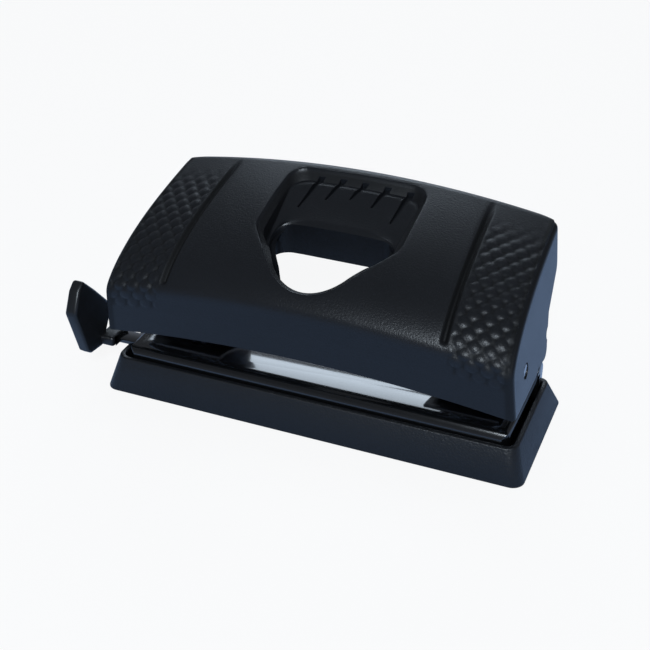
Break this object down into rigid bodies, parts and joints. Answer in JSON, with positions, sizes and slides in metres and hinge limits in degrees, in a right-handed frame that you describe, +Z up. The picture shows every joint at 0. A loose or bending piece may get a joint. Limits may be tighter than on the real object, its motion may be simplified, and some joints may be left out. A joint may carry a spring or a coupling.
{
  "type": "hole punch",
  "caption": "Compact desk hole punch: moulded lever with a finger hole over a steel table, sprung punches, a sliding paper guide and a hinged chip tray.",
  "frame": {"origin": "on the flat rest face, midway between the two punches", "axes": "+X along the punch, from the paper guide's knob towards the other end; +Y towards the back, away from the paper mouth; +Z up"},
  "size_m": [0.1291, 0.0519, 0.0584],
  "materials": {
    "lever_plastic": "fine-grained black moulding",
    "tray_plastic": "fine-grained black moulding",
    "black_paint": "gloss black paint on steel",
    "plated_steel": "zinc-plated pressed sheet",
    "bright_steel": "bright turned or ground steel"
  },
  "bodies": {
    "tray": {"chip_tray": "tray_plastic", "left_tray_pin": "bright_steel", "right_tray_pin": "bright_steel"},
    "punch_unit": {"base_plate": "black_paint", "left_die": "bright_steel", "right_die": "bright_steel", "left_bracket": "plated_steel", "right_bracket": "plated_steel", "left_hinge_pin": "bright_steel", "right_hinge_pin": "bright_steel", "guide_channel": "tray_plastic", "left_spring": "bright_steel", "right_spring": "bright_steel"},
    "lever": {"lever_frame": "plated_steel", "lever_shell": "lever_plastic"},
    "left_punch": {"left_punch_pin": "bright_steel", "left_spring_clip": "plated_steel"},
    "right_punch": {"right_punch_pin": "bright_steel", "right_spring_clip": "plated_steel"},
    "guide": {"guide_bar": "black_paint", "guide_knob": "lever_plastic"}
  },
  "joints": [
    {"name": "tray_hinge", "type": "hinge", "parent": "tray", "child": "punch_unit", "pos_m": [0, 0.0139, 0.0096], "axis": [-1, 0, 0], "range_deg": [0, 50]},
    {"name": "lever_press", "type": "hinge", "parent": "punch_unit", "child": "lever", "pos_m": [0, -0.0098, 0.0287], "axis": [-1, 0, 0], "range_deg": [0, 14.5], "stiffness_Nm_per_rad": 0.25, "springref_deg": -20.05},
    {"name": "left_punch_slide", "type": "slide", "parent": "punch_unit", "child": "left_punch", "axis": [0, 0, -1], "range_m": [0, 0.0027], "deforming": ["left_spring"]},
    {"name": "right_punch_slide", "type": "slide", "parent": "punch_unit", "child": "right_punch", "axis": [0, 0, -1], "range_m": [0, 0.0027], "deforming": ["right_spring"]},
    {"name": "guide_slide", "type": "slide", "parent": "punch_unit", "child": "guide", "axis": [-1, 0, 0], "range_m": [0, 0.065]}
  ],
  "couplings": [
    {"joint": "left_punch_slide", "follows": "lever_press", "m_per_rad": 0.010489},
    {"joint": "right_punch_slide", "follows": "lever_press", "m_per_rad": 0.010489}
  ]
}
